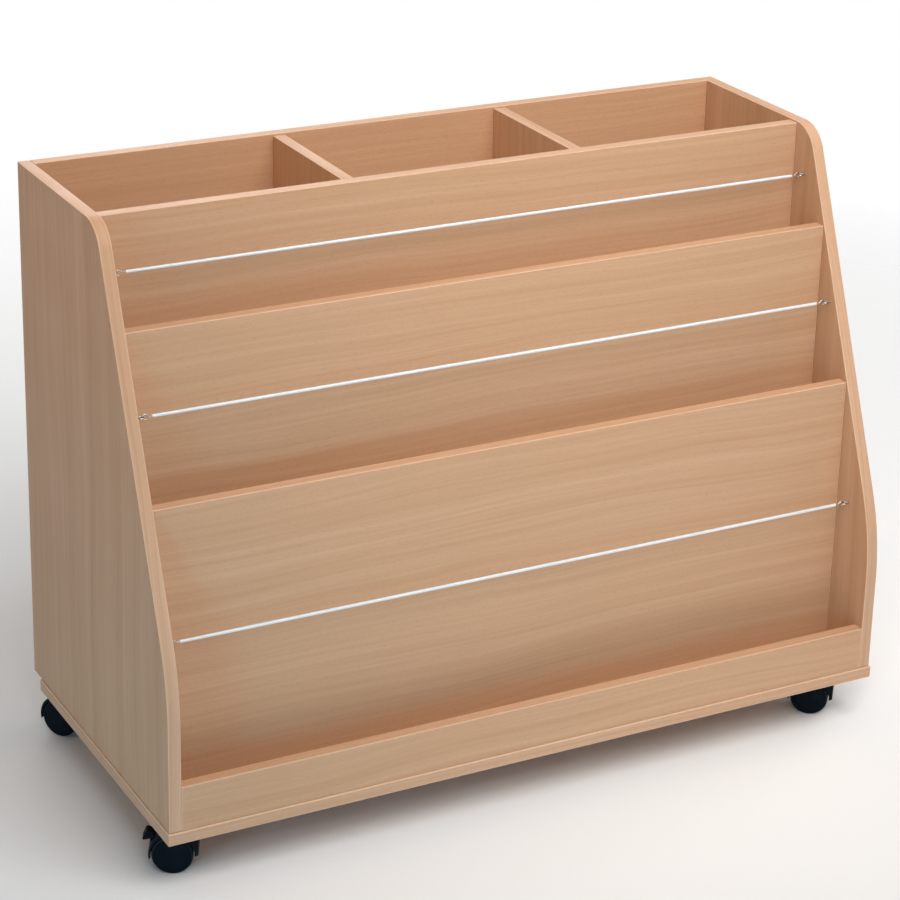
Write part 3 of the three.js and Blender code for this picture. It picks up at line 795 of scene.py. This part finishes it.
class BIN_OT_screw_eyes(bpy.types.Operator):
    """Makes the screw eyes in the side panels' inner faces"""

    bl_idname = "bin.screw_eyes"
    bl_label = "Screw Eyes"

    RING_STEPS = 40
    OPEN = math.radians(14)  # half the ring's gap at the shank
    SHANK = 8.5 * MM  # length inside the board
    COLLAR_STEPS = 24
    # The collar in half section: radii as multiples of the wire's, and millimetres from the board
    COLLAR = ((0.9, 0.02), (1.7, 0.02), (1.7, 0.45), (1.445, 0.7), (0.9, 0.8))

    def execute(self, context):
        look = settings().wires
        steel = finish("plated_steel_finish")
        for wire in WIRES:
            for end in ENDS:
                node = f"{wire}_{end}_screw_eye"
                mesh = joined([self.eye(look), self.collar(look)])
                place = wire_end(wire, end)
                make_piece(f"plated_{node}", mesh, [steel], "carcass", "plated_steel", node, place=place)
        return {"FINISHED"}

    def eye(self, look):
        """Shank and ring, bent from one wire."""
        neck = look.eye_reach - look.eye_ring
        points = [Vector((-self.SHANK, 0, 0)), Vector((0, 0, 0)), Vector((neck - look.eye_wire, 0, 0))]
        for i in range(self.RING_STEPS + 1):
            angle = math.pi + self.OPEN + (2 * math.pi - 2 * self.OPEN) * i / self.RING_STEPS
            points.append(Vector((
                look.eye_reach + look.eye_ring * math.cos(angle), look.eye_ring * math.sin(angle), 0)))
        return tube(points, look.eye_wire)

    def collar(self, look):
        """The shoulder that stops the eye on the board."""
        profile = [(look.eye_wire * part, height * MM) for part, height in self.COLLAR]
        mesh = lathe_ring(profile, self.COLLAR_STEPS)
        mesh.transform(upright_axes(Y_AXIS, Z_AXIS, X_AXIS, (0, 0, 0)))
        return mesh


class BIN_OT_hooks(bpy.types.Operator):
    """Makes the open hooks on the ends of the wires"""

    bl_idname = "bin.hooks"
    bl_label = "Hooks"

    RING_STEPS = 36
    START, STOP = math.radians(42), math.radians(300)  # the ring's two ends
    SLEEVE_GAP = 21 * MM  # from the side panel's face to the sleeve
    SCREWED = 11 * MM  # length inside the sleeve
    NECK = 1.2 * MM  # from the ring to the straight shank

    def execute(self, context):
        look = settings().wires
        steel = finish("plated_steel_finish")
        for wire in WIRES:
            for end in ENDS:
                node = f"{wire}_{end}_hook"
                make_piece(
                    f"plated_{node}", self.hook(look), [steel], f"{wire}_wire", "plated_steel", node,
                    place=wire_end(wire, end))
        return {"FINISHED"}

    def hook(self, look):
        """A shank out of the sleeve, bent into an open ring."""
        bow = look.eye_reach + look.eye_ring - look.eye_wire - look.hook_wire - look.link_gap
        middle = bow + look.hook_ring
        points = [Vector((self.SLEEVE_GAP + self.SCREWED, 0, 0)), Vector((self.SLEEVE_GAP, 0, 0))]
        points.append(Vector((middle + look.hook_ring + self.NECK, 0, 0)))
        for i in range(self.RING_STEPS + 1):
            angle = self.START + (self.STOP - self.START) * i / self.RING_STEPS
            points.append(Vector((
                middle + look.hook_ring * math.cos(angle), 0, look.hook_ring * math.sin(angle))))
        return tube(points, look.hook_wire)


# Castors

BORE_STEPS = 72


def castor_place(corner):
    """A matrix with its origin on the axle, X away from the swivel axis, Y along the axle."""
    joint = JOINTS[f"{corner}_roll_a"]
    across = Vector(joint["axis"]).normalized()
    return upright_axes(across.cross(Z_AXIS), across, Z_AXIS, joint["pos_m"])


def across_castor(outline, width, radius):
    """A side view raised across the castor's width, about its middle."""
    mesh = prism(outline, width, radius)
    mesh.transform(Matrix.Translation((0, width / 2, 0)) @ Matrix.Rotation(math.pi / 2, 4, "X"))
    return mesh


def bar(radius, start, end, middle=(0, 0, 0)):
    """A plain round bar along the axle's direction, to cut with or to add."""
    mesh = lathe([(0, start), (radius, start), (radius, end), (0, end)], BORE_STEPS)
    mesh.transform(Matrix.Rotation(-math.pi / 2, 4, "X"))
    mesh.transform(Matrix.Translation(middle))
    return mesh


class BIN_OT_castor_hoods(bpy.types.Operator):
    """Makes the castors' moulded hoods"""

    bl_idname = "bin.castor_hoods"
    bl_label = "Castor Hoods"

    PAST = 2 * MM  # how far a cutter runs past the hood
    HEEL, TOE = 24 * MM, 25 * MM  # where the web's lower edge ends, inside the arches
    BOSS = 9 * MM  # radius round the axle
    AXLE_BORE = 3.3 * MM  # radius
    KINGPIN_BORE = (4.3 * MM, 21.1 * MM)  # radius, and height of its end over the axle
    KINGPIN_SEAT = (7.3 * MM, 30.6 * MM)  # the same for the seat of its flange
    SLOT = (18.9 * MM, 9.4 * MM, 26.2 * MM)  # back, floor and roof of the pedal's slot
    SLOT_HALF = 7.5 * MM
    CHEEK = (3.4 * MM, 15 * MM)  # radius and reach of the bosses that hold the pedal's pin
    PIN_BORE = (1.7 * MM, 13.8 * MM)  # radius and reach

    def execute(self, context):
        look = settings().castors
        nylon = [finish("black_nylon_finish")] * 2
        for corner in CORNERS:
            node = f"{corner}_castor_hood"
            mesh = soften(self.hood(look, corner in BRAKED), look.hood_edge, self.half(look))
            place = castor_place(corner)
            make_piece(f"moulded_{node}", mesh, nylon, f"{corner}_castor", "black_nylon", node, place=place)
        return {"FINISHED"}

    def half(self, look):
        """Half the hood's width."""
        return look.web / 2 + look.side_gap + look.wheel_width - look.hood_recess

    def outline(self, look, top):
        """The hood's side view: square end over the kingpin, axle boss, and fender that ends in a tail."""
        middle = Vector((look.fender_reach - look.fender_radius, top - look.fender_radius))
        tail = math.asin((look.fender_tail + middle.y) / look.fender_radius)
        corner = (look.hood_corner - look.hood_reach, top - look.hood_corner)
        sunk = math.asin(look.hood_skirt / self.BOSS)
        outline = [Vector((-look.hood_reach, 0)), Vector((-self.HEEL, -look.hood_skirt))]
        outline += arc((0, 0), self.BOSS, math.pi + sunk, 2 * math.pi - sunk)
        outline.append(Vector((self.TOE, -look.hood_skirt)))
        outline += arc(middle, look.fender_radius, -tail, math.pi / 2)
        outline += arc(corner, look.hood_corner, math.pi / 2, math.pi)
        return outline

    def hood(self, look, braked):
        """Shell over both wheels with a web between them."""
        arch = look.wheel_radius + look.wheel_gap
        top = arch + look.hood_crown
        web, half = look.web / 2, self.half(look)
        mesh = across_castor(self.outline(look, top), 2 * half, 0)
        cutters = [bar(arch, sign * web, sign * (half + self.PAST)) for sign in (-1, 1)]
        cutters += [self.kingpin_hole(look, top), bar(self.AXLE_BORE, -half, half)]
        mesh = cut_from(mesh, cutters)
        if braked:
            radius, reach = self.CHEEK
            mesh = cut_from(mesh, [bar(radius, -reach, reach, BIN_OT_brake_pedals.PIVOT)], "UNION")
            radius, reach = self.PIN_BORE
            pin = bar(radius, -reach, reach, BIN_OT_brake_pedals.PIVOT)
            mesh = cut_from(mesh, [self.pedal_slot(look), pin])
        return mesh

    def kingpin_hole(self, look, top):
        """The kingpin's bore and the seat for its flange, in one stepped hole."""
        bore, start = self.KINGPIN_BORE
        seat, step = self.KINGPIN_SEAT
        end = top + self.PAST
        profile = [(0, start), (bore, start), (bore, step), (seat, step), (seat, end), (0, end)]
        mesh = lathe(profile, BORE_STEPS)
        mesh.transform(Matrix.Translation((-look.trail, 0, 0)))
        return mesh

    def pedal_slot(self, look):
        """Room for the brake pedal at the trailing end."""
        back, floor, roof = self.SLOT
        end = look.hood_reach + self.PAST
        return across_castor(rectangle((back, floor), (end, roof)), 2 * self.SLOT_HALF, 0)


class BIN_OT_castor_wheels(bpy.types.Operator):
    """Makes the castors' wheels, with dusty treads"""

    bl_idname = "bin.castor_wheels"
    bl_label = "Castor Wheels"

    STEPS = 96
    AXLE_HOLE = (3.3 * MM, 9.3 * MM)  # radius and depth
    HUB = 7 * MM
    HOLLOW = 9.5 * MM  # depth of the back, round the hub
    TYRE = 4.5 * MM  # thickness round that hollow
    SHOULDER = 2.5 * MM  # rounding of the tread's edges
    SHOULDER_STEPS = 6
    # The line round the face: millimetres in from the tread and out from the face's edge
    RIM_LINE = ((3.2, 0.05), (3.5, -0.45), (4.0, -0.45), (4.3, 0.15))
    DOME = 0.9 * MM  # how far the face's middle stands out
    DOME_RINGS = (0.75, 0.6, 0.45, 0.3, 0.15)  # parts of the wheel's radius
    WORN_RINGS = 12  # of the profile from the tread's inner edge

    def execute(self, context):
        look = settings().castors
        nylon = [finish("black_nylon_finish")]
        inner = look.web / 2 + look.side_gap
        for corner in CORNERS:
            for side, sign, body in (("outer", 1, "wheel_a"), ("inner", -1, "wheel_b")):
                node = f"{corner}_{side}_wheel"
                turn = Matrix.Rotation(-sign * math.pi / 2, 4, "X")
                place = castor_place(corner) @ Matrix.Translation((0, sign * inner, 0)) @ turn
                make_piece(
                    f"moulded_{node}", self.wheel(look), nylon,
                    f"{corner}_{body}", "black_nylon", node, place=place)
        return {"FINISHED"}

    def wheel(self, look):
        """A wheel in half section: hollow back, round tread, rim line and domed face."""
        radius, width = look.wheel_radius, look.wheel_width
        face = width - self.DOME
        hole, deep = self.AXLE_HOLE
        rim = radius - self.TYRE
        back = [(0, deep), (hole, deep), (hole, 0), (self.HUB, 0)]
        back += [(self.HUB, self.HOLLOW), (rim, self.HOLLOW), (rim, 0)]
        turns = [math.pi / 2 * i / self.SHOULDER_STEPS for i in range(self.SHOULDER_STEPS + 1)]
        middle = radius - self.SHOULDER
        tread = [(middle + self.SHOULDER * math.sin(t), self.SHOULDER * (1 - math.cos(t))) for t in turns]
        front = [(r, face - h) for r, h in reversed(tread)]
        line = [(radius - inward * MM, face + outward * MM) for inward, outward in self.RIM_LINE]
        dome = [(radius * part, width - self.DOME * part * part) for part in self.DOME_RINGS]
        profile = back + tread + front + line + dome + [(0, width)]
        return lathe(profile, self.STEPS, range(len(back), len(back) + self.WORN_RINGS))


class BIN_OT_brake_pedals(bpy.types.Operator):
    """Makes the brake pedals of the front castors"""

    bl_idname = "bin.brake_pedals"
    bl_label = "Brake Pedals"

    PIVOT = Vector((23 * MM, 0, 19.5 * MM))  # from the axle
    BARREL = 3.6 * MM  # radius round the pin
    BORE = 1.7 * MM
    TIP = 36.2 * MM  # reach from the axle
    TIP_LOW, TIP_HIGH = 13.4 * MM, 25.7 * MM  # heights over the axle
    TIP_LEAN = 4 * MM
    TIP_ROUND = 1.5 * MM
    WIDTH = 14 * MM
    EDGE = 0.45 * MM
    GRIPS = (0.24, 0.40, 0.56, 0.72)  # places of the grip grooves up the tip
    GRIP = 0.42 * MM  # radius of a groove

    def execute(self, context):
        nylon = [finish("black_nylon_finish")] * 2
        for corner in BRAKED:
            node = f"{corner}_brake_pedal"
            make_piece(
                f"moulded_{node}", self.pedal(), nylon, f"{corner}_pedal", "black_nylon", node,
                place=castor_place(corner))
        return {"FINISHED"}

    def pedal(self):
        """A leaning tip on a barrel, with grooves across the tip for the foot."""
        quarter = math.pi / 2
        low = Vector((self.TIP - self.TIP_ROUND, self.TIP_LOW + self.TIP_ROUND))
        high = Vector((low.x - self.TIP_LEAN, self.TIP_HIGH - self.TIP_ROUND))
        lean = math.atan2(self.TIP_LEAN, self.TIP_HIGH - self.TIP_LOW)
        outline = arc(low, self.TIP_ROUND, -quarter, lean)
        outline += arc(high, self.TIP_ROUND, lean, quarter)
        outline += arc((self.PIVOT.x, self.PIVOT.z), self.BARREL, quarter, 3 * quarter)
        reach = self.WIDTH
        cutters = [bar(self.BORE, -reach, reach, self.PIVOT)]
        outward = Vector((math.cos(lean), math.sin(lean))) * self.TIP_ROUND
        for part in self.GRIPS:
            spot = low.lerp(high, part) + outward
            cutters.append(bar(self.GRIP, -reach, reach, (spot.x, 0, spot.y)))
        return cut_from(soften(across_castor(outline, self.WIDTH, 0), self.EDGE), cutters)


class BIN_OT_plate_screws(bpy.types.Operator):
    """Makes the countersunk screws that hold the castor plates"""

    bl_idname = "bin.plate_screws"
    bl_label = "Plate Screws"

    STEPS = 32
    # The head in half section: parts of its radius, and millimetres up from its face
    HEAD = ((0, 0), (0.8, 0.05), (1, 0.35), (0.6, 2.0), (0, 2.0))
    SLOT = (0.7 * MM, 2.6 * MM, 0.6 * MM)  # width, length and depth of the cross recess
    SLOT_EDGE = 0.02 * MM
    PROUD = 0.15 * MM  # how far a head stands below the plate

    def execute(self, context):
        look = settings().castors
        steel = finish("plated_steel_finish")
        half = look.screw_spacing / 2
        for corner in CORNERS:
            low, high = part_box(f"{corner}_castor_plate")
            middle = (low + high) / 2
            screws = []
            for x in (middle.x - half, middle.x + half):
                for y in (middle.y - half, middle.y + half):
                    screw = self.screw(look)
                    screw.transform(Matrix.Translation((x, y, low.z - self.PROUD)))
                    screws.append(screw)
            make_piece(f"{corner}_plate_screws", joined(screws), [steel], "carcass", "plated_steel")
        return {"FINISHED"}

    def screw(self, look):
        """A head facing down with a cross recess."""
        profile = [(look.screw_head * part, height * MM) for part, height in self.HEAD]
        width, span, depth = self.SLOT
        slots = []
        for u, v in ((width, span), (span, width)):
            slot = prism(rectangle((-u / 2, -v / 2), (u / 2, v / 2)), 2 * depth, self.SLOT_EDGE)
            slot.transform(Matrix.Translation((0, 0, -depth)))
            slots.append(slot)
        return cut_from(lathe(profile, self.STEPS), slots)


class BIN_OT_metal_pieces(bpy.types.Operator):
    """Finishes the plates, kingpins, axles and pedal pins that the frame already shapes"""

    bl_idname = "bin.metal_pieces"
    bl_label = "Metal Pieces"

    def execute(self, context):
        steel = finish("plated_steel_finish")
        names = [f"{corner}_{part}" for corner in CORNERS for part in ("castor_plate", "kingpin", "axle")]
        names += [f"{corner}_pedal_pin" for corner in BRAKED]
        for name in names:
            for slot in frame["nodes"][name].material_slots:
                slot.material = steel
        return {"FINISHED"}


# Stage

class BIN_OT_stage(bpy.types.Operator):
    """Makes the pale floor, the soft light and the camera"""

    bl_idname = "bin.stage"
    bl_label = "Stage"

    FLOOR_STEPS = 96
    FLOOR_RINGS = (0.0, 0.15, 0.3, 0.45, 0.6, 0.8, 1.0)  # parts of the floor's radius
    FLOOR_FADE = (0.36, 0.95)  # parts of the floor's radius between which it fades
    CAMERA_PLACE = (-1.569098, -2.880183, 1.774081)
    CAMERA_AZIMUTH = math.radians(-28.335)
    CAMERA_ELEVATION = math.radians(21.060)
    CAMERA_ROLL = math.radians(1.422)
    CAMERA_SHIFT = -0.10
    SENSOR = 36
    LAMPS = {  # place, target, size, angle of the beam and tint
        "key": ((0.35, -1.4, 2.8), (0, 0, 0.4), 1.6, math.pi, (1.0, 0.97, 0.94)),
        "front": ((-0.6, -1.6, 1.75), (0.36, 0, 0.62), 1.0, math.radians(62), (1.0, 0.97, 0.93)),
        "warm": ((-2.0, 0.2, 1.5), (-0.5, 0.02, 0.70), 0.7, math.radians(50), (1.0, 0.54, 0.16)),
        "cool": ((-2.0, -1.2, 0.3), (-0.5, 0, 0.10), 0.5, math.radians(50), (0.12, 0.62, 1.0)),
        "low": ((-0.4, -2.7, 0.25), (0, -0.1, 0.22), 0.9, math.radians(46), (0.30, 0.72, 1.0)),
        "over": ((-1.0, 0.6, 3.0), (-0.7, 0.1, 0), 1.6, math.pi, (1.0, 0.98, 0.95)),
        "right": ((2.3, 0.1, 1.7), (0.4, 0, 0.3), 1.4, math.pi, (1.0, 0.98, 0.95)),
        "back": ((0.2, 2.6, 1.7), (0, 0.2, 0.3), 1.8, math.pi, (1.0, 0.98, 0.95)),
    }

    def execute(self, context):
        look = settings().stage
        context.scene.view_settings.view_transform = "Standard"
        self.floor(look)
        self.sky(context, look)
        for name, (place, target, size, spread_angle, tint) in self.LAMPS.items():
            self.lamp(name, Vector(place), Vector(target), size, spread_angle, getattr(look, name), tint)
        self.camera(context, look)
        return {"FINISHED"}

    def floor(self, look):
        """A round floor that fades into the white background."""
        profile = [(look.floor_radius * part, 0) for part in self.FLOOR_RINGS]
        mesh = lathe(profile, self.FLOOR_STEPS)
        for face in mesh.faces:
            if face.normal.z < 0:
                face.normal_flip()
        data = bpy.data.meshes.new("floor")
        mesh.to_mesh(data)
        mesh.free()
        tree, shader, material = blank("pale_floor")
        shader.inputs["Base Color"].default_value = (*look.floor, 1)
        shader.inputs["Roughness"].default_value = 0.9
        shader.inputs["Specular IOR Level"].default_value = 0.0
        place = add(tree, "ShaderNodeTexCoord").outputs["Object"]
        away = add(tree, "ShaderNodeVectorMath", {0: place}, operation="LENGTH").outputs["Value"]
        fade = spread(tree, away, [look.floor_radius * part for part in self.FLOOR_FADE])
        clear = add(tree, "ShaderNodeBsdfTransparent")
        blend = add(tree, "ShaderNodeMixShader", {0: fade, 1: shader.outputs[0], 2: clear.outputs[0]})
        tree.links.new(blend.outputs[0], tree.nodes["Material Output"].inputs["Surface"])
        data.materials.append(material)
        floor = bpy.data.objects.new("floor", data)
        bpy.context.scene.collection.objects.link(floor)

    def sky(self, context, look):
        """Even light from all round, white where the camera or a shiny surface sees it."""
        world = bpy.data.worlds.new("studio")
        world.use_nodes = True
        context.scene.world = world
        tree = world.node_tree
        tree.nodes.clear()
        path = add(tree, "ShaderNodeLightPath")
        seen = sums(tree, "MAXIMUM", path.outputs["Is Camera Ray"], path.outputs["Is Glossy Ray"])
        seen = sums(tree, "MAXIMUM", seen, path.outputs["Is Transmission Ray"])
        even = add(tree, "ShaderNodeBackground", {"Color": (*look.sky_tint, 1), "Strength": look.sky})
        white = add(tree, "ShaderNodeBackground", {"Color": (1, 1, 1, 1), "Strength": 1.0})
        both = add(tree, "ShaderNodeMixShader", {0: seen, 1: even.outputs[0], 2: white.outputs[0]})
        end = add(tree, "ShaderNodeOutputWorld")
        tree.links.new(both.outputs[0], end.inputs["Surface"])

    def lamp(self, name, place, target, size, spread_angle, watts, tint):
        """A soft square lamp that faces a target."""
        data = bpy.data.lights.new(f"{name}_lamp", "AREA")
        data.size = size
        data.spread = spread_angle
        data.energy = watts
        data.color = tint
        lamp = bpy.data.objects.new(f"{name}_lamp", data)
        lamp.location = place
        lamp.rotation_euler = (target - place).to_track_quat("-Z", "Y").to_euler()
        lamp.visible_camera = False
        bpy.context.scene.collection.objects.link(lamp)

    def camera(self, context, look):
        """The photograph's viewpoint."""
        a, e, r = self.CAMERA_AZIMUTH, self.CAMERA_ELEVATION, self.CAMERA_ROLL
        back = Vector((math.sin(a) * math.cos(e), -math.cos(a) * math.cos(e), math.sin(e)))
        level = Z_AXIS.cross(back).normalized()
        upward = back.cross(level)
        right = level * math.cos(r) + upward * math.sin(r)
        top = upward * math.cos(r) - level * math.sin(r)
        data = bpy.data.cameras.new("camera")
        data.lens = look.focal_length
        data.sensor_width = self.SENSOR
        data.shift_y = self.CAMERA_SHIFT
        camera = bpy.data.objects.new("camera", data)
        camera.matrix_world = upright_axes(right, top, back, self.CAMERA_PLACE)
        bpy.context.scene.collection.objects.link(camera)
        context.scene.camera = camera


class BIN_PT_sidebar(bpy.types.Panel):
    """Lists the browser bin's operators and settings"""

    bl_label = "Browser Bin"
    bl_idname = "BIN_PT_sidebar"
    bl_space_type = "VIEW_3D"
    bl_region_type = "UI"
    bl_category = "Browser Bin"

    def draw(self, context):
        for operator in OPERATORS:
            self.layout.operator(operator.bl_idname)
        for group in ("boards", "wires", "castors", "stage"):
            box = self.layout.box()
            values = getattr(context.scene.browser_bin, group)
            for name in values.__annotations__:
                box.prop(values, name)


OPERATORS = (
    BIN_OT_stage,
    BIN_OT_side_panels,
    BIN_OT_boards,
    BIN_OT_sprung_wires,
    BIN_OT_screw_eyes,
    BIN_OT_hooks,
    BIN_OT_castor_hoods,
    BIN_OT_castor_wheels,
    BIN_OT_brake_pedals,
    BIN_OT_plate_screws,
    BIN_OT_metal_pieces,
)
GROUPS = (BoardSettings, WireSettings, CastorSettings, StageSettings, BrowserBinSettings)


def register():
    """Registers the settings, the operators and the panel."""
    for kind in (*GROUPS, *OPERATORS, BIN_PT_sidebar):
        bpy.utils.register_class(kind)
    bpy.types.Scene.browser_bin = PointerProperty(type=BrowserBinSettings)


def unregister():
    """Takes them out again."""
    del bpy.types.Scene.browser_bin
    for kind in reversed((*GROUPS, *OPERATORS, BIN_PT_sidebar)):
        bpy.utils.unregister_class(kind)


def main():
    """Builds the whole browser bin."""
    register()
    for operator in OPERATORS:
        family, name = operator.bl_idname.split(".")
        getattr(getattr(bpy.ops, family), name)()


if __name__ == "__main__":
    main()
